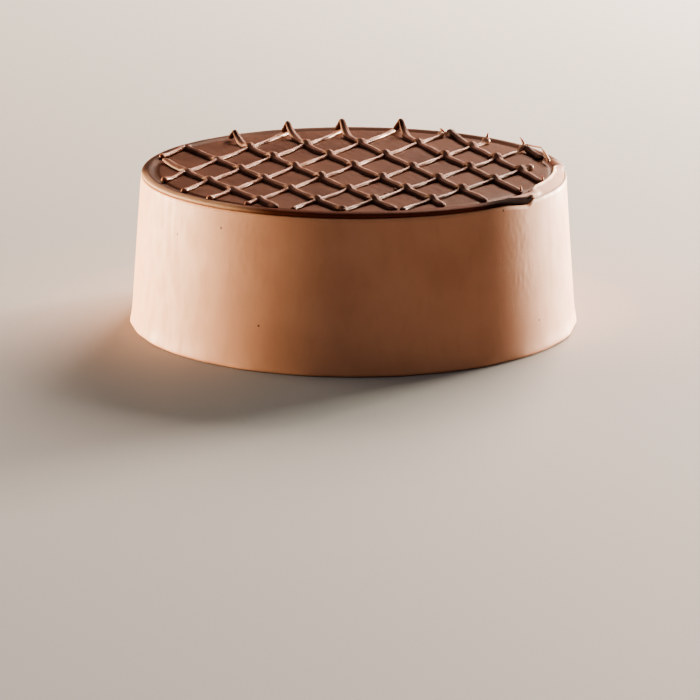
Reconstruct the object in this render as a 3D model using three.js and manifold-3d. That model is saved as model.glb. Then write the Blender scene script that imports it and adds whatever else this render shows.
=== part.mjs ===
// A round chocolate mousse cake: a light mousse-coated body with straight, slightly tapering sides,
// under a thin dark chocolate top with a bevelled edge and a hand-piped lattice of chocolate strands.
// Millimetres, +Z up. The origin is the middle of the flat underside, and the front is at -Y.

import * as THREE from "three";
import { mergeVertices } from "three/addons/utils/BufferGeometryUtils.js";
import Module from "manifold-3d";

// ---- Driving dimensions ----

const footRadius = 107.1; // widest line of the side, just above the underside
const footRounding = 0.9; // rounded corner under the foot
const footFlare = 0.6; // how far the foot stands out past the side above it
const flareHeight = 4.5;
const shoulderRadius = 100.9; // where the side ends and the bevel of the top begins
const shoulderHeight = 71.4;
const ridgeRadius = 95.9; // soft ridge between the bevel and the flat top
const ridgeHeight = 73.9;
const ridgeSoftness = 1.2; // half-width of the rounded crest of the ridge
const bevelSwell = 0.5; // how far the bevel bulges out between the shoulder and the ridge
const topHeight = 73.1; // flat top inside the ridge
const ridgeFoot = 3.6; // from the ridge inwards to where the flat top starts
const gap = 0.3; // clearance between the coat and the chocolate
const aroundSegments = 96;

// The coat is drawn up over the bevel on the right and ends in a thin raised lip.
const lip = {
  startDeg: -46, // measured about the axis from +X
  endDeg: 15,
  rampDeg: 10, // length of the taper at each end
  leastShare: 0.15, // the taper stops at this share of the full width
  innerRadius: 94.4,
  innerHeight: 74.1,
  crestWidth: 0.9, // from the inner face to the crest
  crestHeight: 75,
  outerHeight: 71.9, // where the band leaves the side
  sectionCount: 36,
};

const strand = {
  halfWidth: 1.75,
  halfHeight: 1.4,
  centreAboveTop: 0.7,
  sides: 7,
};

// Each strand of a set has its own unevenness: a sideways nudge, the radii from the axis at which its
// near and far ends lie, and the lift of its far end, which thins into a pulled-up tail.
// The first set lies flat on the top and runs from the front left to the back right.
const firstSet = {
  headingDeg: 60.6, // of the middle of the set, from +X
  fanDeg: -1.4, // turn from each strand to the next
  middleOffset: 11, // sideways from the axis to the middle of the set
  pitch: -23, // sideways step from each strand to the next
  tailLength: 8,
  strands: [
    { nudge: 2, near: 95.5, far: 93.9, lift: 0.5 },
    { nudge: -3, near: 96, far: 88.5, lift: 4 },
    { nudge: -0.5, near: 96, far: 88.5, lift: 5.5 },
    { nudge: 1.5, near: 97, far: 92, lift: 5 },
    { nudge: 1.5, near: 96, far: 90, lift: 1.5 },
    { nudge: -0.5, near: 96, far: 90, lift: 3 },
    { nudge: -0.5, near: 95.5, far: 93, lift: 2.5 },
    { nudge: 0, near: 95, far: 86, lift: 0.8 },
  ],
};

// The second set crosses over the first, from the front right back to the left, where its tails are.
const secondSet = {
  headingDeg: 114.7,
  fanDeg: -1.8,
  middleOffset: -10.6,
  pitch: -24.5,
  tailLength: 13,
  strands: [
    { nudge: 0.5, near: 93, far: 94, lift: 1 },
    { nudge: 0.5, near: 94, far: 94.5, lift: 1.5 },
    { nudge: 0.5, near: 92.5, far: 85, lift: 4.5 },
    { nudge: -1, near: 91.5, far: 82, lift: 5 },
    { nudge: -1, near: 93.5, far: 84, lift: 4.5 },
    { nudge: -1.5, near: 94, far: 86, lift: 4.5 },
    { nudge: 2.5, near: 94, far: 91.5, lift: 1.5 },
    { nudge: 5, near: 93, far: 95, lift: 3.5 },
  ],
};

const tailThinning = 0.4; // share of its size that a tail loses towards its tip
const humpRise = 1.9; // how far the second set rises where it crosses the first
const humpLength = 4.3; // distance along the strand in which the hump fades
const humpStations = [-6.5, -3, 0, 3, 6.5]; // rings are placed here about each crossing
const tailStations = [0.2, 0.45, 0.75, 1]; // and here along a tail, as shares of its length
const straightStep = 13; // and at least this often elsewhere
const leastStep = 1.5;
const endStations = [0.12, 0.5, 1]; // rings in each rounded end, as shares of the half-width
const slopeStep = 0.5; // the slope of a strand is taken over this distance to each side
const lipClearance = 2.3; // from the lip of the coat to the middle of a strand

// ---- Solids from rings of points ----

const wasm = await Module();
wasm.setup();

const sharedPointTolerance = 1e-4;

// A closed mesh turned into a solid that can be joined and cut.
function toSolid(geometry) {
  const bare = geometry.index ? geometry.toNonIndexed() : geometry.clone();
  bare.deleteAttribute("normal");
  bare.deleteAttribute("uv");
  const merged = mergeVertices(bare, sharedPointTolerance);
  const mesh = new wasm.Mesh({
    numProp: 3,
    vertProperties: merged.attributes.position.array,
    triVerts: new Uint32Array(merged.index.array),
  });
  return new wasm.Manifold(mesh);
}

function toGeometry(solid) {
  const mesh = solid.getMesh();
  const geometry = new THREE.BufferGeometry();
  geometry.setAttribute("position", new THREE.BufferAttribute(mesh.vertProperties, 3));
  geometry.setIndex(new THREE.BufferAttribute(mesh.triVerts, 1));
  geometry.computeVertexNormals();
  return geometry;
}

// A closed skin over rings that all have the same number of points, with a point closing each end.
// The points of a ring run anticlockwise as seen from the last ring.
function ringSkin(startPoint, rings, endPoint) {
  const sides = rings[0].length;
  const points = [startPoint, ...rings.flat(), endPoint];
  const at = (ring, side) => 1 + ring * sides + (side % sides);
  const faces = [];
  for (let side = 0; side < sides; side++) {
    faces.push(0, at(0, side + 1), at(0, side));
    faces.push(points.length - 1, at(rings.length - 1, side), at(rings.length - 1, side + 1));
    for (let ring = 0; ring + 1 < rings.length; ring++) {
      faces.push(at(ring, side), at(ring, side + 1), at(ring + 1, side + 1));
      faces.push(at(ring, side), at(ring + 1, side + 1), at(ring + 1, side));
    }
  }
  const geometry = new THREE.BufferGeometry().setFromPoints(points);
  geometry.setIndex(faces);
  return geometry;
}

// A profile of (radius, height) points from axis to axis, turned round the z axis.
function turned(profile) {
  const geometry = new THREE.LatheGeometry(
    profile.map(([radius, height]) => new THREE.Vector2(radius, height)),
    aroundSegments,
  );
  return geometry.rotateX(Math.PI / 2);
}

// ---- Body and lip of the coat ----

function bodyGeometry() {
  return turned([
    [0, 0],
    [footRadius - footRounding, 0],
    [footRadius, footRounding],
    [footRadius - footFlare, flareHeight],
    [shoulderRadius, shoulderHeight - gap],
    [0, shoulderHeight - gap],
  ]);
}

// The coat is drawn up over the bevel along part of the rim. There the chocolate ends at this radius,
// which moves in from beyond the shoulder at each end of the band to the inner face of the lip.
function chocolateLimit(degrees) {
  const middle = (lip.startDeg + lip.endDeg) / 2;
  const inset = (lip.endDeg - lip.startDeg) / 2 - Math.abs(degrees - middle);
  const fullness = THREE.MathUtils.smoothstep(inset, 0, lip.rampDeg);
  return THREE.MathUtils.lerp(shoulderRadius + gap, lip.innerRadius, fullness);
}

// Cross-sections of a ring about the z axis, one for each angle of the band that has a section.
function bandSkin(sectionAt) {
  const rings = [];
  for (let i = 0; i <= lip.sectionCount; i++) {
    const degrees = THREE.MathUtils.lerp(lip.startDeg, lip.endDeg, i / lip.sectionCount);
    const angle = THREE.MathUtils.degToRad(degrees);
    const around = new THREE.Vector3(Math.cos(angle), Math.sin(angle), 0);
    const section = sectionAt(degrees);
    if (!section) continue;
    rings.push(section.map(([radius, z]) => around.clone().multiplyScalar(radius).setZ(z)));
  }
  const centreOf = (ring) =>
    ring.reduce((sum, point) => sum.add(point), new THREE.Vector3()).divideScalar(ring.length);
  return ringSkin(centreOf(rings[0]), rings, centreOf(rings[rings.length - 1]));
}

// The drawn-up coat: a wedge on the shoulder that climbs inwards to a thin crest.
function lipGeometry() {
  const outer = shoulderRadius - gap;
  const floor = shoulderHeight - 2 * gap;
  const fullWidth = outer - lip.innerRadius - gap;
  return bandSkin((degrees) => {
    const inner = chocolateLimit(degrees) + gap;
    const share = (outer - inner) / fullWidth;
    if (share < lip.leastShare) return null;
    return [
      [inner, floor],
      [inner, THREE.MathUtils.lerp(shoulderHeight, lip.innerHeight, share)],
      [inner + lip.crestWidth * share, THREE.MathUtils.lerp(shoulderHeight, lip.crestHeight, share)],
      [outer, THREE.MathUtils.lerp(shoulderHeight, lip.outerHeight, share)],
      [outer, floor],
    ];
  });
}

// The room that the chocolate top leaves for the drawn-up coat, cut right through its edge.
function lipRoomGeometry() {
  const beyond = footRadius;
  const above = 2 * topHeight;
  return bandSkin((degrees) => {
    const inner = chocolateLimit(degrees);
    return [
      [inner, 0],
      [inner, above],
      [beyond, above],
      [beyond, 0],
    ];
  });
}

// ---- Chocolate top ----

// A thin plate with a swelling bevel up to a soft ridge, and a flat top slightly below the ridge.
function topLayerGeometry() {
  return turned([
    [0, shoulderHeight],
    [shoulderRadius, shoulderHeight],
    [(shoulderRadius + ridgeRadius) / 2 + bevelSwell, (shoulderHeight + ridgeHeight) / 2 + bevelSwell],
    [ridgeRadius + ridgeSoftness / 2, ridgeHeight],
    [ridgeRadius - ridgeSoftness, ridgeHeight],
    [ridgeRadius - ridgeFoot, topHeight],
    [0, topHeight],
  ]);
}

// ---- Lattice strands ----

// Plan of one set: each strand is a straight line, given by its direction and its offset to the left.
function planLines(set) {
  return set.strands.map((piped, index) => {
    const step = index - (set.strands.length - 1) / 2;
    const heading = THREE.MathUtils.degToRad(set.headingDeg + set.fanDeg * step);
    return {
      along: new THREE.Vector3(Math.cos(heading), Math.sin(heading), 0),
      across: new THREE.Vector3(-Math.sin(heading), Math.cos(heading), 0),
      offset: set.middleOffset + set.pitch * step + piped.nudge,
    };
  });
}

// Distance along a line, from its point nearest the axis, at which it reaches a radius. Beside the
// lip of the coat it stops short of the lip.
function reachAlong(line, radius, direction) {
  const distance = direction * Math.sqrt(radius * radius - line.offset * line.offset);
  const end = line.across.clone().multiplyScalar(line.offset).addScaledVector(line.along, distance);
  const limit = chocolateLimit(THREE.MathUtils.radToDeg(Math.atan2(end.y, end.x))) - lipClearance;
  return radius > limit + leastStep ? reachAlong(line, limit, direction) : distance;
}

// Distances along a line at which lines of another set cross it.
function crossingsOf(line, others) {
  return others.map((other) => {
    const slant = line.along.dot(other.across);
    return (other.offset - line.offset * line.across.dot(other.across)) / slant;
  });
}

// Where the rings of a strand go, as distances from its start: close together in each rounded end,
// more over each crossing and along the tail, and few where it runs straight.
function ringDistances(length, crossings, set) {
  const startRings = endStations.map((share) => share * strand.halfWidth);
  const endRings = startRings.map((s) => length - s).reverse();
  const wanted = [
    ...crossings.flatMap((crossing) => humpStations.map((shift) => crossing + shift)),
    ...tailStations.map((share) => length - share * set.tailLength),
  ];
  for (let s = straightStep; s < length; s += straightStep) wanted.push(s);
  const kept = [...startRings];
  for (const s of wanted.sort((a, b) => a - b)) {
    const clearOfEnd = endRings[0] - s >= leastStep;
    if (clearOfEnd && s - kept[kept.length - 1] >= leastStep) kept.push(s);
  }
  return [...kept, ...endRings];
}

// One strand: oval rings carried along its line, with rounded ends. It rises over each crossing,
// and its far end lifts and thins into a tail.
function strandGeometry(line, piped, crossingPlaces, set) {
  const from = reachAlong(line, piped.near, -1);
  const length = reachAlong(line, piped.far, 1) - from;
  const crossings = crossingPlaces.map((place) => place - from);
  const tailShare = (s) => THREE.MathUtils.smoothstep(s, length - set.tailLength, length);
  const centreAt = (s) => {
    const humps = crossings.map((crossing) => Math.exp(-(((s - crossing) / humpLength) ** 2)));
    const height = topHeight + strand.centreAboveTop + piped.lift * tailShare(s);
    return line.across
      .clone()
      .multiplyScalar(line.offset)
      .addScaledVector(line.along, from + s)
      .setZ(height + humpRise * Math.max(0, ...humps));
  };
  const rings = ringDistances(length, crossings, set).map((s) => {
    const centre = centreAt(s);
    const forward = centreAt(s + slopeStep).sub(centreAt(s - slopeStep));
    const up = new THREE.Vector3().crossVectors(forward, line.across).normalize();
    const inEnd = Math.min(s, length - s, strand.halfWidth) / strand.halfWidth;
    const size = Math.sqrt(1 - (1 - inEnd) ** 2) * (1 - tailThinning * tailShare(s));
    return Array.from({ length: strand.sides }, (_, side) => {
      const turn = (side / strand.sides) * 2 * Math.PI;
      return centre
        .clone()
        .addScaledVector(line.across, -Math.sin(turn) * strand.halfWidth * size)
        .addScaledVector(up, Math.cos(turn) * strand.halfHeight * size);
    });
  });
  return ringSkin(centreAt(0), rings, centreAt(length));
}

function latticeSolids() {
  const firstLines = planLines(firstSet);
  const secondLines = planLines(secondSet);
  const first = firstSet.strands.map((piped, index) => {
    return strandGeometry(firstLines[index], piped, [], firstSet);
  });
  const second = secondSet.strands.map((piped, index) => {
    const line = secondLines[index];
    return strandGeometry(line, piped, crossingsOf(line, firstLines), secondSet);
  });
  return [...first, ...second].map(toSolid);
}

// ---- Assembly ----

const coatMaterial = new THREE.MeshStandardMaterial({ color: 0xc8966f, roughness: 0.6, metalness: 0 });
const chocolateMaterial = new THREE.MeshStandardMaterial({ color: 0x5f3c2d, roughness: 0.4, metalness: 0 });

function named(name, solid, material) {
  const mesh = new THREE.Mesh(toGeometry(solid), material);
  mesh.name = name;
  return mesh;
}

const body = toSolid(bodyGeometry()).add(toSolid(lipGeometry()));
const topLayer = toSolid(topLayerGeometry());
const topWithLattice = latticeSolids().reduce((whole, piece) => whole.add(piece), topLayer);
const chocolateTop = topWithLattice.subtract(toSolid(lipRoomGeometry()));

const cake = new THREE.Group();
cake.add(named("mousse_body", body, coatMaterial));
cake.add(named("chocolate_top", chocolateTop, chocolateMaterial));

export default cake;
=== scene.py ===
"""A whole chocolate mousse cake: a light mousse coat, a thin dark chocolate top with a bevelled rim,
and a hand-piped lattice of chocolate strands with pulled-up tails.

Metres, +Z up, the origin in the middle of the flat underside and the front at -Y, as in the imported
frame. Shapes are worked out in millimetres, on whole numpy arrays, and made metres by skin()."""

import math

import bpy
import numpy as np
from mathutils import Matrix, Vector


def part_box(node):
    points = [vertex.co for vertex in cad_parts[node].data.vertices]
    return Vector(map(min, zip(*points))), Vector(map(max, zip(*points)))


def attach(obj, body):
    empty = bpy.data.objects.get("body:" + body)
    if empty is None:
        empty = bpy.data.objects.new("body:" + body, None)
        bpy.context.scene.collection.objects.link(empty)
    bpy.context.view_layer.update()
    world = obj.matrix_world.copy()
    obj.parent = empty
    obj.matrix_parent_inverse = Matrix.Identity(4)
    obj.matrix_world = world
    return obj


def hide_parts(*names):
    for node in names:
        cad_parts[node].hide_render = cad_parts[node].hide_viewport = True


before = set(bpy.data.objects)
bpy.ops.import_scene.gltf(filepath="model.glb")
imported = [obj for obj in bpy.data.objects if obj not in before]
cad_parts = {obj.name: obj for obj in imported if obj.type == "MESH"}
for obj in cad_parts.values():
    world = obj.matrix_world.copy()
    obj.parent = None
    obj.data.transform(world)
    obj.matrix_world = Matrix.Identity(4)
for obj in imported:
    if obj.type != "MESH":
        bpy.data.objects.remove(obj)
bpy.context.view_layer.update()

# ---- Driving sizes, in millimetres ----

MM = 0.001
coat_high = np.array(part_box("mousse_body")[1]) / MM
top_low, top_high = (np.array(corner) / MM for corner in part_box("chocolate_top"))

foot_radius = coat_high[0]
foot_rounding = 1.4
foot_flare = 0.6
flare_height = 4.5
shoulder_radius = top_high[1]
shoulder_height = top_low[2]
shoulder_rounding = 0.9

rim_foot = 0.3  # how far in from the shoulder the bead of chocolate stands
bead_undercut = math.radians(50)
bead_equator = 1.1  # height of the widest part of the bead above the shoulder
front_ridge_radius, front_ridge_height = 96.4, 74.0
side_ridge_radius, side_ridge_height = 98.0, 73.6
groove_radius, groove_height = 93.6, 72.6
groove_width = 1.8
top_height = 73.1

# The coat is drawn up over the rim on the right, as a lip that runs out at both ends in a thin tongue
# on the ridge. Angles are about the axis, from +X.
lip_radius = 94.4
lip_crest = coat_high[2]
lip_start, lip_end = math.radians(-35.3), math.radians(5)
front_tongue, back_tongue = math.radians(-44), math.radians(14)
lip_heart = np.array([95.4, shoulder_height + 0.8])  # radius and height inside the rim
tongue_thickness = 0.45
slot_dip = 1.7  # how far the joint drops below the shoulder at the slot under the front tongue
slot_start, slot_deepest = math.radians(-48), math.radians(-38)
slot_tip = 0.05  # radians over which the joint comes up again at the pointed end of the slot

# Under the chocolate the coat ends in a flat face, and the chocolate's own hidden face overlaps it.
flat_radius = 93.0
coat_tuck = 0.4  # how far below the shoulder the coat's flat face lies
chocolate_tuck = 0.5  # and the chocolate's

AROUND = 720  # points in each ring of the coat and of the top


# ---- Smooth helpers ----


def smooth(x, low, high):
    """0 below low, 1 above high, and between them 3 t^2 - 2 t^3 of the share t of the way."""
    t = np.clip((x - low) / (high - low), 0, 1)
    return t * t * (3 - 2 * t)


def lerp(a, b, share):
    """The value at that share of the way from a to b."""
    return a + (b - a) * share


def bell(x, width):
    """exp(-(x / width)^2)."""
    return np.exp(-((x / width) ** 2))


def wrap(angle):
    """The same angle between -pi and pi."""
    return (angle + np.pi) % (2 * np.pi) - np.pi


def around_waves(theta, height, seed, turns, rise, count=24):
    """Sum of count cosines of k theta + m height + phase, scaled to a spread of about 1. Each k is a
    whole number of waves round the cake, from a quarter of turns up to turns, and each m is up to
    rise, in 1/mm."""
    random = np.random.default_rng(seed)
    total = 0
    for _ in range(count):
        k = random.integers(turns // 4, turns)
        m = random.uniform(-rise, rise)
        total = total + np.cos(k * theta + m * height + random.uniform(0, 2 * np.pi))
    return total * math.sqrt(2 / count)


def plane_waves(x, y, seed, shortest, longest, count=20):
    """Sum of count cosines over the plane, in random directions and with wavelengths drawn between
    shortest and longest, scaled to a spread of about 1."""
    random = np.random.default_rng(seed)
    total = 0
    for _ in range(count):
        number = 2 * np.pi / random.uniform(shortest, longest)
        heading, phase = random.uniform(0, 2 * np.pi, 2)
        total = total + np.cos(number * (x * np.cos(heading) + y * np.sin(heading)) + phase)
    return total * math.sqrt(2 / count)


# ---- Meshes ----


def skin_faces(rings, sides, first):
    """Quads between neighbouring rings of a closed skin whose points start at first, and the two fans
    to the points that close its ends, which come before and after the rings."""
    side = np.arange(sides)
    following = (side + 1) % sides
    ring = first + 1 + np.arange(rings - 1)[:, None] * sides
    quads = np.stack([ring + side, ring + following, ring + sides + following, ring + sides + side], -1)
    last = first + 1 + (rings - 1) * sides
    end = last + sides
    start_fan = np.stack([np.full(sides, first), first + 1 + following, first + 1 + side], -1)
    end_fan = np.stack([np.full(sides, end), last + side, last + following], -1)
    return quads.reshape(-1, 4), np.concatenate([start_fan, end_fan])


def skin(name, bodies, material, slot, *nodes):
    """One smooth mesh piece from closed skins. Each body is an array (rings, sides, 3) in millimetres,
    with the points of a ring anticlockwise as seen from the last ring. Its ends are closed by fans
    to the middles of the first and last rings."""
    points, quads, fans, first = [], [], [], 0
    for rings in bodies:
        four, three = skin_faces(rings.shape[0], rings.shape[1], first)
        points += [rings[0].mean(0)[None], rings.reshape(-1, 3), rings[-1].mean(0)[None]]
        quads.append(four)
        fans.append(three)
        first += rings.shape[0] * rings.shape[1] + 2
    points, quads, fans = np.concatenate(points) * MM, np.concatenate(quads), np.concatenate(fans)
    corners = np.concatenate([quads.ravel(), fans.ravel()]).astype(np.int32)
    sizes = np.concatenate([np.full(len(quads), 4), np.full(len(fans), 3)])
    mesh = bpy.data.meshes.new(name)
    mesh.vertices.add(len(points))
    mesh.vertices.foreach_set("co", points.astype(np.float32).ravel())
    mesh.loops.add(len(corners))
    mesh.loops.foreach_set("vertex_index", corners)
    mesh.polygons.add(len(sizes))
    mesh.polygons.foreach_set("loop_start", (np.cumsum(sizes) - sizes).astype(np.int32))
    mesh.polygons.foreach_set("use_smooth", np.ones(len(sizes), bool))
    mesh.update(calc_edges=True)
    mesh.validate()
    piece = bpy.data.objects.new(name, mesh)
    bpy.context.scene.collection.objects.link(piece)
    piece.data.materials.append(material)
    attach(piece, "root")
    if nodes:
        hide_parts(*nodes)
    return piece


def ring_points(theta, radius, height):
    """Points at (radius, height) round the axis, for arrays that broadcast to (rings, around)."""
    radius, height, theta = np.broadcast_arrays(radius, height, theta)
    return np.stack([radius * np.cos(theta), radius * np.sin(theta), height], -1)


# ---- Rim profile, shared by the chocolate top and the coat that is drawn up over it ----


def joint_drop(theta):
    """Drop of the joint between coat and chocolate: nothing, except where it eases down to the slot
    and comes up sharply at the slot's pointed end."""
    turned = wrap(theta)
    sharp_end = smooth(turned, lip_start, lip_start - slot_tip)
    return slot_dip * smooth(turned, slot_start, slot_deepest) * sharp_end


ridge_share, groove_share = 0.5, 0.85  # where the ridge and the groove lie on the way across the rim
front_spread = 0.75  # radians from the front over which the ridge comes to its place at the sides
belly_power, crown_power = 0.8, 0.9  # below 1, they make the ellipse of the bead fuller
undercut_stretch = 1.3  # brings the foot of the undercut down to the joint


def rim_profile(share, theta):
    """Radius and height across the rim. Up to the ridge it climbs from the joint with the coat on a
    full ellipse, from the undercut angle below its equator to its top. To the groove inside the ridge
    it falls on half a cosine wave, and from there it rises on another half wave to the flat top. The
    ridge stands highest and furthest in at the front."""
    front = bell(wrap(theta + np.pi / 2), front_spread)
    ridge_radius = lerp(side_ridge_radius, front_ridge_radius, front)
    ridge_height = lerp(side_ridge_height, front_ridge_height, front)
    turn = lerp(-bead_undercut, np.pi / 2, np.clip(share / ridge_share, 0, 1))
    bead_radius = shoulder_radius - rim_foot
    equator = shoulder_height + bead_equator - joint_drop(theta)
    climb_radius = ridge_radius + (bead_radius - ridge_radius) * np.cos(turn) ** belly_power
    crown = (ridge_height - equator) * np.clip(np.sin(turn), 0, 1) ** crown_power
    undercut = undercut_stretch * bead_equator * np.sin(turn)
    climb_height = equator + np.where(turn > 0, crown, undercut)
    fall = np.clip((share - ridge_share) / (groove_share - ridge_share), 0, 1)
    rise = np.clip((share - groove_share) / (1 - groove_share), 0, 1)
    radius = climb_radius - (ridge_radius - groove_radius) * fall - groove_width * rise
    height = climb_height - (ridge_height - groove_height) * (1 - np.cos(np.pi * fall)) / 2
    return radius, height + (top_height - groove_height) * (1 - np.cos(np.pi * rise)) / 2


# ---- Mousse coat ----


def side_radius(height):
    """Radius of the side: a straight taper from foot to shoulder, and a flare that dies away upwards."""
    taper = lerp(foot_radius - foot_flare, shoulder_radius, height / shoulder_height)
    return taper + foot_flare * bell(height, flare_height)


broad_relief, ripple_relief = 0.09, 0.02
faint_ripples = 0.2  # share of the ripples that is left in patches all round
# Where they are plainest: angle about the axis, spread, both in radians, and share of the ripples.
ripple_patches = [(math.radians(-119), 0.12, 0.6), (math.radians(-41), 0.10, 1.0)]
ripples_end, ripples_full = 18, 40  # heights between which those patches fade in


def side_relief(theta, height):
    """Relief of the hand-smoothed side: a broad unevenness all over, and short upright ripples from
    the scraper. Both are sums of cosines. The ripples are let through in faint patches where a third
    sum is high, and in the plain patches by a bell curve of the angle."""
    broad = broad_relief * around_waves(theta, height, seed=3, turns=14, rise=0.05)
    ripples = ripple_relief * around_waves(theta, height, seed=5, turns=240, rise=1.1, count=60)
    faint = faint_ripples * smooth(around_waves(theta, height, seed=9, turns=16, rise=0.07), 0.5, 1.6)
    plain = sum(strength * bell(wrap(theta - at), spread) for at, spread, strength in ripple_patches)
    plain = plain * smooth(height, ripples_end, ripples_full)
    return broad + ripples * np.clip(faint + plain, 0, 1)


bevel_swell = 0.35
bevel_setback = 0.15  # how far inside the shoulder the bevel starts
crest_rounding, crest_waver = 0.3, 0.06
crest_outside, crest_width = 0.7, 0.9  # the crest starts outside the radius of the lip
# Shares of the way across the lip: how much the crest takes, its middle and spread, and the drop.
crest_span, crest_middle, crest_spread = 0.15, 0.53, 0.05
drop_start, drop_end = 0.60, 0.72
inner_foot = (lip_radius - 0.4, shoulder_height + 1.5)  # radius and height at which the inside ends


def lip_profile(share, theta):
    """Radius and height across the lip. Up to the ridge's share it climbs from the shoulder to the
    crest on a straight bevel that swells by a sine. A bell curve rounds the crest, and inside it the
    lip drops steeply. The height of the crest wavers along the lip by a sum of cosines."""
    climb = np.clip(share / ridge_share, 0, 1)
    over = np.clip((share - ridge_share) / crest_span, 0, 1)
    drop = smooth(share, drop_start, drop_end)
    wavering = crest_waver * around_waves(theta, 0, seed=31, turns=40, rise=0, count=16)
    crest = lip_crest - crest_rounding + wavering
    low_radius = shoulder_radius - bevel_setback + bevel_setback * smooth(share, 0, 0.1)
    radius = lerp(low_radius, lip_radius + crest_outside, climb) - crest_width * over
    height = lerp(shoulder_height - shoulder_rounding, crest, climb)
    height = height + bevel_swell * np.sin(np.pi * climb)
    height = height + crest_rounding * bell(share - crest_middle, crest_spread)
    return lerp(radius, inner_foot[0], drop), lerp(height, inner_foot[1], drop)


LIP_ALONG, LIP_ACROSS = 200, 28
inner_share = 0.74  # where the inner edge of the lip lies on the way across the rim
quick_climb = 0.15  # share of a tongue's length over which its low edge climbs half of the way
sunk_outside, sunk_inside = 0.12, 0.4  # how far the edges of the sheet go into the rim
foot_ease = 0.03  # radians over which the bevel takes over from the tongue at the foot of the lip
crest_ease_front, crest_ease_back = 0.14, 0.12  # and at its crest


def lip_rings():
    """The lip, as a thick curved sheet on the rim. Its low edge is the shoulder, and climbs to the
    ridge on the tongues, half of the way at once and half evenly. Its inner edge lies inside the
    ridge. The sheet stands off the rim by a power of a sine of the way across, and blends along the
    lip to the bevel. Its inner face is the outer one drawn half way to the heart."""
    theta = np.linspace(front_tongue, back_tongue, LIP_ALONG)[:, None]
    across = np.linspace(1, 0, LIP_ACROSS)[None]
    front = np.clip((lip_start - theta) / (lip_start - front_tongue), 0, 1)
    back = np.clip((theta - lip_end) / (back_tongue - lip_end), 0, 1)
    gone = np.maximum(front, back)
    low_share = ridge_share * (smooth(gone, 0, quick_climb) + gone) / 2
    share = lerp(low_share, inner_share, across)
    full = 1 - gone**3
    on_rim = np.stack(rim_profile(share, theta), -1)
    outwards = on_rim - lip_heart
    outwards /= np.linalg.norm(outwards, axis=-1, keepdims=True)
    raised = tongue_thickness * full * np.sin(np.pi * across) ** 0.6
    stand_off = raised - sunk_outside - sunk_inside * across**5
    on_rim = on_rim + outwards * stand_off[..., None]
    low = smooth(theta, lip_start, lip_start + foot_ease)
    low = low * smooth(theta, lip_end, lip_end - foot_ease)
    high = smooth(theta, lip_start, lip_start + crest_ease_front)
    high = high * smooth(theta, lip_end, lip_end - crest_ease_back)
    bevelled = lerp(low, high, np.clip(3 * across, 0, 1))[..., None]
    outer = lerp(on_rim, np.stack(lip_profile(share, theta), -1), bevelled)
    inner = lerp(lip_heart, outer, 0.5)[:, ::-1]
    section = np.concatenate([outer, inner], 1)
    return ring_points(theta, section[..., 0], section[..., 1])


FOOT_RINGS, SIDE_RINGS, EDGE_RINGS = 7, 62, 34
follow_depth = 14  # how far below the shoulder the side begins to follow the joint down
calm_depth = 8  # how far below the shoulder the relief of the side begins to die away
outline_waver, waver_height = 0.12, 3  # unevenness of the outline at the foot
edge_lift = 0.1  # how far the edge is raised into the foot of the chocolate
edge_share = 0.2  # share of the edge rings that rounds the edge, before they go in under the chocolate


def coat_rings():
    """The coat, ring by ring from the middle of the underside to the middle of the flat that the
    chocolate lies on. The foot is a quarter circle, and the side is its taper and flare with their
    relief, and with an outline that wavers by a bell curve of the height at the foot. The edge is
    another quarter circle, which goes on inwards in a flat. Near the top all of it drops with the
    joint."""
    theta = np.arange(AROUND)[None] * 2 * np.pi / AROUND

    corner = np.linspace(0, np.pi / 2, FOOT_RINGS)[:, None]
    foot_height = foot_rounding * (1 - np.cos(corner))
    side_height = np.linspace(foot_rounding, shoulder_height - shoulder_rounding, SIDE_RINGS)[1:, None]
    height = np.concatenate([foot_height, side_height])
    drop = joint_drop(theta)
    side_top = shoulder_height - shoulder_rounding
    height = height - drop * smooth(height, shoulder_height - follow_depth, side_top)
    tucked = np.concatenate([foot_rounding * (1 - np.sin(corner)), 0 * side_height])
    calm = smooth(height, shoulder_height + 1, shoulder_height - calm_depth)
    outline = outline_waver * around_waves(theta, 0, seed=21, turns=36, rise=0, count=30)
    relief = calm * side_relief(theta, height) + outline * bell(height, waver_height)
    side = side_radius(height) - tucked + relief
    side_rings = ring_points(theta, side, height)

    under_shares = np.array([0.3, 0.7, 0.97])[:, None]
    under_rings = ring_points(theta, under_shares * side[:1], 0.0)

    share = np.linspace(0, 1, EDGE_RINGS)[:, None]
    rounded = np.clip(share / edge_share, 0, 1) * np.pi / 2
    edge_radius = shoulder_radius - shoulder_rounding * (1 - np.cos(rounded))
    edge_height = shoulder_height - shoulder_rounding * (1 - np.sin(rounded)) + edge_lift
    inwards = np.clip((share - edge_share) / (1 - edge_share), 0, 1)
    edge_radius = edge_radius - (edge_radius[-1] - flat_radius) * inwards
    edge_height = edge_height - (edge_lift + coat_tuck) * smooth(inwards, 0, 0.12)
    edge_rings = ring_points(theta, edge_radius, edge_height - drop)

    flat_shares = np.array([0.9, 0.6, 0.3])[:, None]
    flat_rings = ring_points(theta, flat_shares * flat_radius, shoulder_height - coat_tuck)
    return np.concatenate([under_rings, side_rings, edge_rings, flat_rings])


# ---- Chocolate top ----


past_shoulder, under_lip = 1.0, 0.9  # how far past them the chocolate may reach


def chocolate_limit(turned):
    """Radius at which the chocolate ends: beyond the shoulder, or under the lip, with a smooth step
    from one to the other just within the ends of the lip."""
    inside = smooth(turned, lip_start + 0.005, lip_start + 0.04)
    inside = inside * smooth(turned, lip_end, lip_end - 0.04)
    return lerp(shoulder_radius + past_shoulder, lip_radius + under_lip, inside)


swell_relief, stroke_relief = 0.10, 0.02


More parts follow.
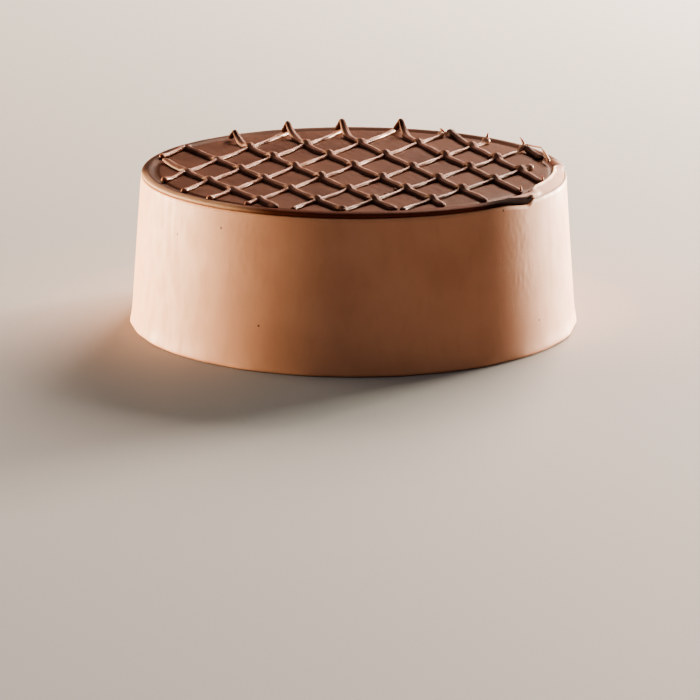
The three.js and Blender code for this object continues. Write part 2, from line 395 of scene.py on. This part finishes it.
def top_relief(x, y):
    """Relief of the spread top: long faint swells, with finer strokes of the palette knife on them,
    each a sum of cosines."""
    swells = swell_relief * plane_waves(x, y, seed=41, shortest=25, longest=60)
    return swells + stroke_relief * plane_waves(x, y, seed=43, shortest=3, longest=8)


RIM_RINGS, TOP_RINGS = 44, 60
rim_waver = 0.02
relief_margin = 8  # how far inside the groove the relief of the top comes to its full depth


def chocolate_rings():
    """The spread top, ring by ring from the middle of its hidden underside, over the rim and in to the
    middle of the flat. The rim is its profile, with a height that wavers by a sum of cosines. No
    radius goes past the limit. The relief of the flat dies away towards the groove."""
    theta = np.arange(AROUND)[None] * 2 * np.pi / AROUND
    under_shares = np.array([0.3, 0.7, 0.95])[:, None]
    share = np.linspace(0, 1, RIM_RINGS)[:, None]
    rim_radius, rim_height = rim_profile(share, theta)
    wavering = rim_waver * around_waves(theta, 0, seed=51, turns=36, rise=0, count=30)
    rim_height = rim_height + wavering * smooth(share, 0, 0.3) * smooth(share, 1, 0.7)
    inwards = (1 - np.linspace(0, 1, TOP_RINGS)[1:-1, None]) ** 0.9
    top_radius = rim_radius[-1] * inwards
    under_radius = under_shares * (shoulder_radius - shoulder_rounding) + 0 * theta
    under_height = under_radius * 0 + shoulder_height - chocolate_tuck
    radius = np.concatenate([under_radius, rim_radius, top_radius])
    height = np.concatenate([under_height, rim_height, top_radius * 0 + top_height])
    radius = np.minimum(radius, chocolate_limit(wrap(theta)))
    points = ring_points(theta, radius, height)
    relief = top_relief(points[..., 0], points[..., 1])
    relief = relief * smooth(radius, groove_radius, groove_radius - relief_margin)
    points[..., 2] += relief * (points[..., 2] > shoulder_height + chocolate_tuck)
    return points


# ---- Lattice ----

SECTION = 28  # points round a strand
STEP = 0.6  # millimetres between its rings
CAP_RINGS = 8
rib_count = 7
rib_sway, rib_sway_length = 0.5, 9  # the ribs turn to and fro along the strand
flattening = 0.42  # share of its half height at which the middle of a strand lies over the top
knob_middle, knob_length = 1.6, 1.5  # from the near end
far_knob_length = 2
near_lift_length = 8
lean_length = 40.0
lean_power, lift_power = 1.2, 1.5
hump_loss = 0.8  # share of the humps that is lost where a tail has lifted
arch_fall_power, arch_regain = 0.8, 0.4
# Waves along a strand, as (size, wavelength over 2 pi): millimetres to the side, and shares of its size.
side_waves = [(0.22, 7.3), (0.14, 3.1)]
size_waves = [(0.05, 4.7), (0.04, 2.3)]


def strand(nudge, near, far, **odd):
    """One strand of a set: its sideways nudge, the radii from the axis at which it starts and stops,
    and what is odd about it. Its near end has a knob and may lift, and its far end has a tail, which
    may lift, lean and thin to the tip. An arch is the height, the climb and the fall of a far end
    that was pulled up and over, and how much of the height is left where it lands."""
    usual = dict(knob=1.1, near_lift=0.0, far_knob=0.0, fat=1.0, hump=1.0, lean=0.0)
    usual.update(tail=8.0, lift=0.0, tip=0.6, arch=(0.0, 1.0, 1.0, 1.0))
    return dict(usual, nudge=nudge, near=near, far=far, **odd)


# Headings are in degrees from +X, and fan is added to them from strand to strand. Middle is how far the
# middle of the set lies to its left of the axis, and pitch how far apart the strands are.
first_set = {
    "seed": 60,
    "half_width": 1.35,
    "half_height": 1.1,
    "rib_depth": 0.04,
    "hump_rise": 0.45,
    "hump_length": 2.8,
    "hump_shift": -2.6,
    "heading": 60.6,
    "fan": -1.4,
    "middle": 11.0,
    "pitch": -23.0,
    "strands": [
        strand(2.0, 95.5, 94.3, near_lift=0.6, fat=1.1),
        strand(-3.0, 95.0, 87.5, near_lift=0.9, knob=1.15, lift=0.5, tip=1.0),
        strand(-0.5, 96.0, 86.5, near_lift=0.3, knob=1.15, lift=0.6, tip=0.9),
        strand(1.5, 97.0, 89.5, near_lift=0.3, knob=1.15, lift=0.6, tip=0.9),
        strand(1.5, 96.0, 89.5, near_lift=0.4, knob=1.15, lift=1.0, tip=1.1, far_knob=0.2),
        strand(-0.5, 96.0, 90.0, lift=1.5, tip=1.1, far_knob=0.4),
        strand(-0.5, 95.5, 93.0, lift=2.4, tip=1.0, far_knob=0.3),
        strand(0.0, 95.0, 84.5, lift=0.8, tip=1.1, far_knob=0.3),
    ],
}
second_set = {
    "seed": 80,
    "half_width": 2.2,
    "half_height": 1.2,
    "rib_depth": 0.06,
    "hump_rise": 1.5,
    "hump_length": 2.9,
    "hump_shift": 0.4,
    "heading": 114.7,
    "fan": -1.8,
    "middle": -12.2,
    "pitch": -24.5,
    "strands": [
        strand(0.5, 93.0, 94.5, tail=14, lift=1.2, lean=-3.0, hump=0.7),
        strand(0.5, 94.0, 94.5, lift=0.3, tip=0.9, hump=0.8),
        strand(0.5, 92.5, 91.0, tip=0.6, arch=(5.2, 13.0, 5.0, 0.1), lean=-1.5, hump=1.3),
        strand(-1.0, 91.5, 90.8, tip=0.55, arch=(6.6, 16.0, 7.0, 0.05), lean=-3.6, hump=1.2),
        strand(-1.0, 93.5, 91.0, tip=0.55, arch=(6.9, 15.0, 8.5, 0.0), lean=-3.6, hump=1.2),
        strand(-1.5, 94.0, 93.0, tip=0.55, arch=(6.9, 15.0, 9.0, 0.0), lean=-3.6, hump=1.2),
        strand(2.5, 94.0, 94.0, tail=14, lift=1.2, tip=0.9, lean=-2.6, hump=1.2),
        strand(5.8, 92.9, 92.9, tail=10, lift=1.8, near_lift=1.2, knob=0.8, fat=1.2, tip=0.6),
    ],
}

# Thin strings pulled from strand to strand, and small drops. Each is three points of a curve, as
# (x, y, height above the flat top), and its radius at the start and at the end.
strings = [
    [(44.6, 81.0, 1.6), (44.0, 82.2, 2.2), (43.2, 83.6, 2.6), 1.0, 0.8],
    [(65.5, 60.5, 2.2), (66.0, 61.5, 4.0), (66.3, 62.0, 5.2), 1.0, 0.2],
    [(83.0, 41.6, 3.0), (82.4, 43.0, 4.6), (80.9, 45.0, 6.5), 0.9, 0.25],
    [(83.2, 41.9, 3.4), (87.0, 36.0, 3.6), (91.0, 30.0, 4.2), 0.5, 0.35],
    [(90.6, 27.5, 4.4), (92.3, 17.0, 3.6), (93.0, 8.5, 1.8), 0.35, 1.1],
    [(76.4, -55.2, 1.5), (76.4, -55.3, 2.8), (76.2, -55.4, 4.0), 0.7, 0.2],
    [(87.6, -33.8, 1.5), (87.7, -33.9, 2.8), (87.5, -34.0, 4.2), 0.6, 0.2],
    [(18.2, -50.3, 0.6), (18.8, -50.3, 1.0), (19.6, -50.3, 0.8), 0.8, 0.6],
    [(14.0, -58.6, 0.3), (14.6, -58.8, 0.6), (15.4, -58.8, 0.5), 0.7, 0.5],
]


def plan_lines(piped):
    """Each strand of a set is a straight line in plan: its direction, its left-hand side and its
    offset to that side from the axis."""
    lines = []
    for index, piece in enumerate(piped["strands"]):
        step = index - (len(piped["strands"]) - 1) / 2
        heading = math.radians(piped["heading"] + piped["fan"] * step)
        along = np.array([math.cos(heading), math.sin(heading), 0])
        across = np.array([-math.sin(heading), math.cos(heading), 0])
        lines.append((along, across, piped["middle"] + piped["pitch"] * step + piece["nudge"]))
    return lines


def crossings(line, others):
    """Distances along a line, from its point nearest the axis, at which other lines cross it."""
    along, across, offset = line
    return np.array([(o[2] - offset * across @ o[1]) / (along @ o[1]) for o in others])


def reach(line, radius):
    """Half the chord that a circle of that radius about the axis cuts from the line."""
    return math.sqrt(radius**2 - line[2] ** 2)


def rounded_lengths(start, end, cap):
    """Distances from start to end, one step apart, and closer together in the rounded caps."""
    bend = 1 - np.cos(np.linspace(0.15, np.pi / 2, CAP_RINGS))
    middle = np.linspace(start + cap, end - cap, max(3, int((end - start - 2 * cap) / STEP)))
    return np.concatenate([start + cap * bend[:-1], middle, end - cap * bend[:-1][::-1]])[:, None]


def waves_along(t, waves, phases):
    """Sum of size sin(t / length + phase) over the waves."""
    return sum(size * np.sin(t / length + phase) for (size, length), phase in zip(waves, phases))


def sweep(centre, turn, sideways, upwards):
    """Rings round a path: each point of a ring stands off the centre to the left by minus the sine of
    its turn and upwards by the cosine, square to the path."""
    tangent = np.gradient(centre, axis=0)
    tangent /= np.linalg.norm(tangent, axis=1, keepdims=True)
    left = np.cross([0, 0, 1], tangent)
    left /= np.linalg.norm(left, axis=1, keepdims=True)
    up = np.cross(tangent, left)
    sideways, upwards = -np.sin(turn) * sideways, np.cos(turn) * upwards
    return centre[:, None] + left[:, None] * sideways[..., None] + up[:, None] * upwards[..., None]


near_stretch = 1.8  # how much longer the near end is rounded than the far one


def round_ends(t, start, end, cap):
    """Share of the full thickness: a quarter ellipse at each end, as long as the cap at the far one and
    longer at the near one."""
    near = np.clip((t - start) / (near_stretch * cap), 0, 1)
    far = np.clip((end - t) / cap, 0, 1)
    return np.sqrt(1 - (1 - near) ** 2) * np.sqrt(1 - (1 - far) ** 2)


def arch_lift(t, end, arch):
    """Height of a far end that was pulled up and over: a climb by the square of its share to a point,
    and then a fall by a power of its share to what is left of the height where it lands. Also the
    share of the climb, which the fall takes back in part."""
    height, climb_length, fall_length, left_over = arch
    back = end - t
    climb = np.clip((climb_length + fall_length - back) / climb_length, 0, 1)
    fall = np.clip((fall_length - back) / fall_length, 0, 1)
    lift = height * (climb**2 - (1 - left_over) * fall**arch_fall_power)
    return lift, climb * (1 - arch_regain * fall) * (height > 0)


def strand_rings(line, piece, piped, crossed, seed):
    """A ribbed oval carried along a straight line on the top. It wanders to the sides and swells by
    sums of sines, rises over what it crosses as a bell curve, and starts in a knob, another bell
    curve. Its far end lifts by a power of the share of the tail or goes over an arch, leans to one
    side by a power of the share of the lean and thins. The ribs are a cosine of the turn, which
    sways by a sine."""
    along, across, offset = line
    half_width, half_height = piped["half_width"], piped["half_height"] * piece["fat"]
    start, end = -reach(line, piece["near"]), reach(line, piece["far"])
    t = rounded_lengths(start, end, half_width)
    random = np.random.default_rng(seed)
    phases = random.uniform(0, 2 * np.pi, 8)
    rises = piped["hump_rise"] * piece["hump"] * random.uniform(0.8, 1.2, len(crossed))
    wander = waves_along(t, side_waves, phases[:2])
    swell = 1 + waves_along(t, size_waves, phases[2:4])
    tail = np.clip((t - end) / piece["tail"] + 1, 0, 1)
    arched, climbed = arch_lift(t, end, piece["arch"])
    humps = bell(t - crossed[None] - piped["hump_shift"], piped["hump_length"])
    lost = hump_loss * tail * (piece["lift"] > 0)
    hump = np.max(rises * humps, 1, keepdims=True) * (1 - climbed) * (1 - lost)
    near_lift = piece["near_lift"] * smooth(t, start + near_lift_length, start)
    lift = piece["lift"] * tail**lift_power + near_lift
    height = top_height + flattening * half_height + lift + arched + hump
    lean = piece["lean"] * np.clip((t - end) / lean_length + 1, 0, 1) ** lean_power
    sideways = offset + wander + lean
    centre = across * sideways + along * t + np.array([0, 0, 1]) * height

    knobs = 1 + (piece["knob"] - 1) * bell(t - start - knob_middle, knob_length)
    knobs = knobs + piece["far_knob"] * bell(end - t - far_knob_length, far_knob_length)
    flat = piece["arch"][0] == 0
    thinning = lerp(1, piece["tip"], np.maximum(tail**2 * flat, climbed**2))
    size = round_ends(t, start, end, half_width) * swell * knobs * thinning
    turn = np.arange(SECTION)[None] * 2 * np.pi / SECTION
    sway = rib_sway * np.sin(t / rib_sway_length + phases[4])
    ribs = 1 + piped["rib_depth"] * np.cos(rib_count * turn + sway)
    return sweep(centre, turn, half_width * size * ribs, half_height * size * ribs)


def lattice(piped, crossed):
    """The strands of one set, which rise over those of the set that they cross."""
    others = plan_lines(crossed)
    return [
        strand_rings(line, piece, piped, crossings(line, others), piped["seed"] + index)
        for index, (line, piece) in enumerate(zip(plan_lines(piped), piped["strands"]))
    ]


STRING_RINGS, STRING_SECTION = 26, 12
string_cap = 0.15  # share of a string's length over which its far end is rounded


def string_rings(first, middle, last, thick, thin):
    """A round string along the curve (1 - t)^2 first + 2 t (1 - t) middle + t^2 last, with rounded
    ends, whose radius goes evenly from thick to thin."""
    first, middle, last = (np.array(point) + (0, 0, top_height) for point in (first, middle, last))
    t = (1 - np.cos(np.linspace(0.08, np.pi - 0.08, STRING_RINGS)))[:, None] / 2
    centre = (1 - t) ** 2 * first + 2 * t * (1 - t) * middle + t**2 * last
    turn = np.arange(STRING_SECTION)[None] * 2 * np.pi / STRING_SECTION
    radius = lerp(thick, thin, t) * round_ends(t, 0, 1, string_cap)
    return sweep(centre, turn, radius, radius)


# ---- Shader building ----


class Value:
    """A number socket of a material. Arithmetic on it adds Math nodes."""

    def __init__(self, paint, socket):
        self.paint = paint
        self.socket = socket

    def math(self, operation, *others):
        """A Math node with this number first."""
        return self.paint.node("ShaderNodeMath", {"operation": operation}, self, *others)

    def __add__(self, other):
        return self.math("ADD", other)

    def __radd__(self, other):
        return self.math("ADD", other)

    def __sub__(self, other):
        return self.math("SUBTRACT", other)

    def __rsub__(self, other):
        return self.paint.node("ShaderNodeMath", {"operation": "SUBTRACT"}, other, self)

    def __mul__(self, other):
        return self.math("MULTIPLY", other)

    def __rmul__(self, other):
        return self.math("MULTIPLY", other)

    def __pow__(self, other):
        return self.math("POWER", other)


class Paint:
    """A material under construction, with one Principled surface."""

    def __init__(self, name, **uniform):
        self.material = bpy.data.materials.new(name)
        self.material.use_nodes = True
        self.tree = self.material.node_tree
        self.surface = self.tree.nodes["Principled BSDF"]
        for setting, value in uniform.items():
            socket = setting.replace("_", " ").title().replace("Ior", "IOR")
            self.surface.inputs[socket].default_value = value

    def node(self, kind, settings=None, *by_place, output=0, **by_name):
        """Adds a node: its settings first, then the values or links of its sockets."""
        made = self.tree.nodes.new(kind)
        for setting, value in (settings or {}).items():
            setattr(made, setting, value)
        for place, value in enumerate(by_place):
            self.feed(made.inputs[place], value)
        for name, value in by_name.items():
            self.feed(made.inputs[name.replace("_", " ")], value)
        return Value(self, made.outputs[output])

    def feed(self, socket, value):
        """Links a value to a socket, or sets a plain one on it."""
        if isinstance(value, Value):
            self.tree.links.new(value.socket, socket)
        else:
            socket.default_value = value

    def place(self, scale=(1, 1, 1)):
        """Object coordinates in millimetres, stretched by scale."""
        coordinates = self.node("ShaderNodeTexCoord", output="Object")
        factors = tuple(s / MM for s in scale)
        return self.node("ShaderNodeVectorMath", {"operation": "MULTIPLY"}, coordinates, factors)

    def noise(self, size, scale=(1, 1, 1), detail=3.0):
        """Noise from 0 to 1 whose features are about size millimetres across."""
        sockets = dict(Vector=self.place(scale), Scale=1 / size, Detail=detail)
        return self.node("ShaderNodeTexNoise", None, **sockets)

    def split(self, vector):
        """The three parts of a vector, as numbers."""
        return [self.node("ShaderNodeSeparateXYZ", None, vector, output=part) for part in range(3)]

    def around(self):
        """How far right, how far back and how far from the axis, in millimetres."""
        across, depth, _ = self.split(self.place())
        return across, depth, (across * across + depth * depth) ** 0.5

    def distance(self, point):
        """How far from a point, in millimetres."""
        settings = {"operation": "DISTANCE"}
        return self.node("ShaderNodeVectorMath", settings, self.place(), point, output="Value")

    def ramp(self, value, low, high):
        """0 up to low and 1 from high on, with a smooth step between them. High may be the lower one."""
        settings = {"clamp": True, "interpolation_type": "SMOOTHSTEP"}
        return self.node("ShaderNodeMapRange", settings, value, low, high)

    def mix(self, share, first, second):
        """A colour between two, given as linear (r, g, b) or links."""
        made = self.node("ShaderNodeMix", {"data_type": "RGBA"}, share, output=2)
        for place, colour in ((6, first), (7, second)):
            plain = colour if isinstance(colour, Value) else (*colour, 1)
            self.feed(made.socket.node.inputs[place], plain)
        return made

    def bump(self, height, depth, normal=None):
        """A bump of that depth in millimetres where height goes from 0 to 1."""
        sockets = {"Height": height, "Distance": depth * MM, "Strength": 1.0}
        if normal:
            sockets["Normal"] = normal
        return self.node("ShaderNodeBump", None, **sockets)

    def finish(self, **surface):
        """Feeds the surface's own sockets, and gives the material."""
        for socket, value in surface.items():
            self.feed(self.surface.inputs[socket.replace("_", " ")], value)
        return self.material


# Colours are linear. In all the materials, zones are in millimetres: to the right, back and up from the
# origin, and from the axis.

# Air holes in the side of the coat, drawn only as dark discs of painted shade: angle about the axis from
# +X, in degrees, and height.
air_holes = [(-142, 55.6), (-126, 63), (-48, 69.8), (-35.5, 15), (-114, 21)]
hole_radius, hole_floor = 0.75, 0.35

coat_dark, coat_light = (0.575, 0.275, 0.165), (0.625, 0.31, 0.19)
coat_streak = (0.47, 0.24, 0.14)
# The second colour of the lip is a painted highlight along its crest.
lip_face, crest_highlight = (0.36, 0.17, 0.105), (0.8, 0.55, 0.38)
# The hole colour is painted shade for the inside of the air holes.
hole_shade = (0.2, 0.09, 0.045)


def mousse_material():
    """The coat: clouds of tone with faint upright streaks, a darker lip with a painted highlight along
    its crest, and air holes drawn as dark discs of painted shade. It is a little rougher where it is
    streaked."""
    paint = Paint("mousse coat", subsurface_weight=0.15, subsurface_scale=0.004, ior=1.4)
    paint.surface.inputs["Subsurface Radius"].default_value = (1.0, 0.45, 0.25)
    cloud = paint.noise(38, detail=2.0)
    streak = paint.noise(5, (1, 1, 0.4))
    grain = paint.noise(0.9, detail=2.0)
    tone = paint.mix(paint.ramp(cloud, 0.35, 0.65), coat_dark, coat_light)
    tone = paint.mix(0.2 * paint.ramp(streak, 0.5, 0.8), tone, coat_streak)
    across, _, height = paint.split(paint.place())
    drawn_up = paint.ramp(across, 62, 76) * paint.ramp(height, 70.0, 71.2)
    tone = paint.mix(0.9 * drawn_up, tone, lip_face)
    # A painted highlight along the crest of the lip.
    tone = paint.mix(drawn_up * paint.ramp(height, 74.1, 74.4), tone, crest_highlight)
    # Each air hole is a dark disc of painted shade, with no dent in the surface.
    for degrees, level in air_holes:
        out, angle = side_radius(level), math.radians(degrees)
        middle = (out * math.cos(angle), out * math.sin(angle), level)
        apart = paint.distance(middle)
        tone = paint.mix(paint.ramp(apart, hole_radius, hole_floor), tone, hole_shade)
    rough = 0.5 + 0.12 * paint.ramp(streak, 0.3, 0.7) + 0.06 * grain
    normal = paint.bump(streak, 0.04, paint.bump(grain, 0.03))
    return paint.finish(Base_Color=tone, Roughness=rough, Normal=normal)


ganache = dict(subsurface_weight=0.2, subsurface_scale=0.0025)
ganache_depths = (1.0, 0.42, 0.27)

top_dark, top_light = (0.175, 0.078, 0.049), (0.215, 0.101, 0.065)
bare_rim, shaded_rim = (0.15, 0.042, 0.02), (0.10, 0.044, 0.028)
# The slot colour is painted shade under the front tongue of the lip.
slot_shade = (0.025, 0.006, 0.003)
# The smear colour is partly a real smear of mousse and partly a painted highlight.
smear_and_highlight = (0.5, 0.3, 0.2)


def chocolate_material():
    """The spread top, in clouds of tone with fine strokes. The outward face of its rim is bare dark
    chocolate at the front and right. On the left it has a smear of mousse, lightened further as a
    painted highlight, and the inward face there is darkened as painted shade. The slot under the
    front end of the lip is nearly black with painted shade, and dull."""
    paint = Paint("spread chocolate", ior=1.4, specular_ior_level=0.1, **ganache)
    paint.surface.inputs["Subsurface Radius"].default_value = ganache_depths
    cloud = paint.noise(22)
    grain = paint.noise(0.8)
    stroke = paint.noise(3.0, (1, 0.25, 1), detail=2.0)
    tone = paint.mix(paint.ramp(cloud, 0.3, 0.7), top_dark, top_light)
    across, depth, radius = paint.around()
    bare = paint.ramp(radius, 95.0, 97.5) * paint.ramp(across, -70, -30) * paint.ramp(depth, 10, -30)
    tone = paint.mix(bare, tone, bare_rim)
    # Painted shade in the slot under the front tongue of the lip, which is also made rougher.
    in_shaded_slot = paint.ramp(across, 50, 66) * paint.ramp(depth, -40, -50) * paint.ramp(radius, 94.5, 96)
    tone = paint.mix(in_shaded_slot, tone, slot_shade)
    shaded = paint.ramp(radius, 93, 95) * paint.ramp(across, -55, -80)
    tone = paint.mix(shaded, tone, shaded_rim)
    # On the left of the rim: a smear of mousse, lightened further as a painted highlight.
    smear_and_highlight_zone = paint.ramp(radius, 97.6, 98.2) * paint.ramp(across, -35, -60) * paint.ramp(depth, 0, -25)
    tone = paint.mix(0.8 * smear_and_highlight_zone, tone, smear_and_highlight)
    rough = 0.42 + 0.15 * paint.ramp(cloud, 0.3, 0.7) + 0.05 * grain + 0.3 * in_shaded_slot
    normal = paint.bump(stroke, 0.05, paint.bump(grain, 0.03))
    return paint.finish(Base_Color=tone, Roughness=rough, Normal=normal)


warm_gloss = (1.0, 0.55, 0.38, 1)


def strand_material(name, gloss, roughness, dark, light, shade, outer):
    """Piped chocolate, in clouds of tone from dark to light. Towards the front right it is darkened by
    the factor shade, as painted shade. Near the rim at the back, except on the far left, it has the
    outer colour, which paints a highlight there where it is pale and paints shade where it is dark."""
    paint = Paint(name, ior=1.45, specular_ior_level=gloss, **ganache)
    paint.surface.inputs["Specular Tint"].default_value = warm_gloss
    paint.surface.inputs["Subsurface Radius"].default_value = ganache_depths
    cloud = paint.noise(9)
    grain = paint.noise(0.6)
    tone = paint.mix(paint.ramp(cloud, 0.3, 0.7), dark, light)
    across, depth, radius = paint.around()
    # Painted shade towards the front right.
    front_right_shade = paint.ramp(across - depth, 0, 110)
    tone = paint.mix(front_right_shade, tone, tuple(shade * part for part in dark))
    # Painted light near the rim at the back: a pale outer colour paints a highlight here, a dark one
    # paints shade.
    painted_light_zone = paint.ramp(radius, 79, 85) * paint.ramp(depth, -15, -5) * paint.ramp(across, -90, -70)
    tone = paint.mix(0.9 * painted_light_zone, tone, outer)
    rough = roughness + 0.12 * paint.ramp(cloud, 0.3, 0.7) + 0.05 * grain
    return paint.finish(Base_Color=tone, Roughness=rough, Normal=paint.bump(grain, 0.03))


# ---- The cake ----

mousse = mousse_material()
spread_chocolate = chocolate_material()
# The first set's lighter tones are partly a painted highlight, and its pale outer colour is a painted
# highlight near the back rim.
glossy_strand = strand_material(
    "glossy piped chocolate",
    gloss=0.09,
    roughness=0.26,
    dark=(0.28, 0.127, 0.084),
    light=(0.33, 0.153, 0.103),
    shade=0.45,
    outer=(0.38, 0.215, 0.15),
)
# The second set's darker tones are partly painted shade, and its nearly black outer colour is painted
# shade near the back rim.
dull_strand = strand_material(
    "dull piped chocolate",
    gloss=0.10,
    roughness=0.45,
    dark=(0.215, 0.108, 0.078),
    light=(0.255, 0.131, 0.097),
    shade=0.8,
    outer=(0.07, 0.028, 0.018),
)
# The pulled strings are drawn in paler tones of the chocolate as a painted highlight.
highlit_string = strand_material(
    "pulled chocolate",
    gloss=0.3,
    roughness=0.3,
    dark=(0.36, 0.2, 0.14),
    light=(0.42, 0.25, 0.18),
    shade=1.0,
    outer=(0.38, 0.215, 0.15),
)

skin("mousse_coat", [coat_rings(), lip_rings()], mousse, "mousse_coat", "mousse_body")
skin("chocolate_layer", [chocolate_rings()], spread_chocolate, "chocolate", "chocolate_top")
skin("first_strands", lattice(first_set, second_set), glossy_strand, "chocolate", "chocolate_top")
skin("second_strands", lattice(second_set, first_set), dull_strand, "chocolate", "chocolate_top")
skin("pulled_strings", [string_rings(*string) for string in strings], highlit_string, "chocolate")


# ---- Camera, floor and light ----


camera_place = (0, -1.4598, 0.3816)
camera_pitch, camera_yaw, camera_roll = (math.radians(a) for a in (-15.245, 0.064, 0.1435))
focal_length, picture_width = 3136.55, 700  # in pixels of the photo
sensor_width = 36


def add_camera():
    """Where the photo was taken from: in front, looking down by the pitch."""
    data = bpy.data.cameras.new("camera")
    data.sensor_width = sensor_width
    data.lens = focal_length * sensor_width / picture_width
    data.clip_start, data.clip_end = 0.05, 50
    camera = bpy.data.objects.new("camera", data)
    turn = Matrix.Rotation(camera_yaw, 4, "Z") @ Matrix.Rotation(math.pi / 2 + camera_pitch, 4, "X")
    turn = turn @ Matrix.Rotation(camera_roll, 4, "Z")
    camera.matrix_world = Matrix.Translation(camera_place) @ turn
    bpy.context.scene.collection.objects.link(camera)
    bpy.context.scene.camera = camera


floor_reach = 9
floor_gap = 0.0002
floor_colour = (0.5, 0.49, 0.475, 1)


def add_floor():
    """A pale floor out to the horizon, a hair below the underside so that the two don't touch."""
    mesh = bpy.data.meshes.new("floor")
    square = ((-1, -1), (1, -1), (1, 1), (-1, 1))
    corners = [(floor_reach * x, floor_reach * y, -floor_gap) for x, y in square]
    mesh.from_pydata(corners, [], [(0, 1, 2, 3)])
    floor = bpy.data.objects.new("floor", mesh)
    paint = Paint("pale floor", roughness=0.7)
    mesh.materials.append(paint.finish(Base_Color=floor_colour))
    bpy.context.scene.collection.objects.link(floor)


light_aim = Vector((0, 0, 0.05))


def add_light(name, azimuth, elevation, distance, width, height, watts, colour=(1, 1, 1)):
    """A rectangular soft light that faces the middle of the cake. Azimuth is from the front, positive
    to the right, and both angles are in degrees."""
    data = bpy.data.lights.new(name, "AREA")
    data.shape = "RECTANGLE"
    data.size, data.size_y, data.energy, data.color = width, height, watts, colour
    light = bpy.data.objects.new(name, data)
    a, e = math.radians(azimuth), math.radians(elevation)
    out = Vector((math.sin(a) * math.cos(e), -math.cos(a) * math.cos(e), math.sin(e)))
    facing = out.to_track_quat("Z", "Y").to_matrix().to_4x4()
    light.matrix_world = Matrix.Translation(light_aim + out * distance) @ facing
    bpy.context.scene.collection.objects.link(light)


sky_colour = (0.95, 0.96, 1.0, 1)


def add_sky(strength):
    """An even, faint light from all round."""
    world = bpy.data.worlds.new("pale studio")
    world.use_nodes = True
    background = world.node_tree.nodes["Background"]
    background.inputs["Color"].default_value = sky_colour
    background.inputs["Strength"].default_value = strength
    bpy.context.scene.world = world


add_camera()
add_floor()
add_light("left window", -109, 0.5, 2.4, 1.7, 0.14, 225, (1.0, 0.90, 0.67))
add_light("right strip", 130, 3, 2.4, 0.6, 0.4, 240, (1.0, 0.93, 0.78))
add_light("back window", 154, 30, 2.4, 1.3, 1.1, 84, (1.0, 0.80, 0.68))
add_light("front fill", -35, 22, 3.0, 2.2, 1.6, 7)
add_sky(0.14)
bpy.context.scene.view_settings.view_transform = "AgX"
bpy.context.scene.view_settings.look = "AgX - High Contrast"
bpy.context.scene.view_settings.exposure = 0.0
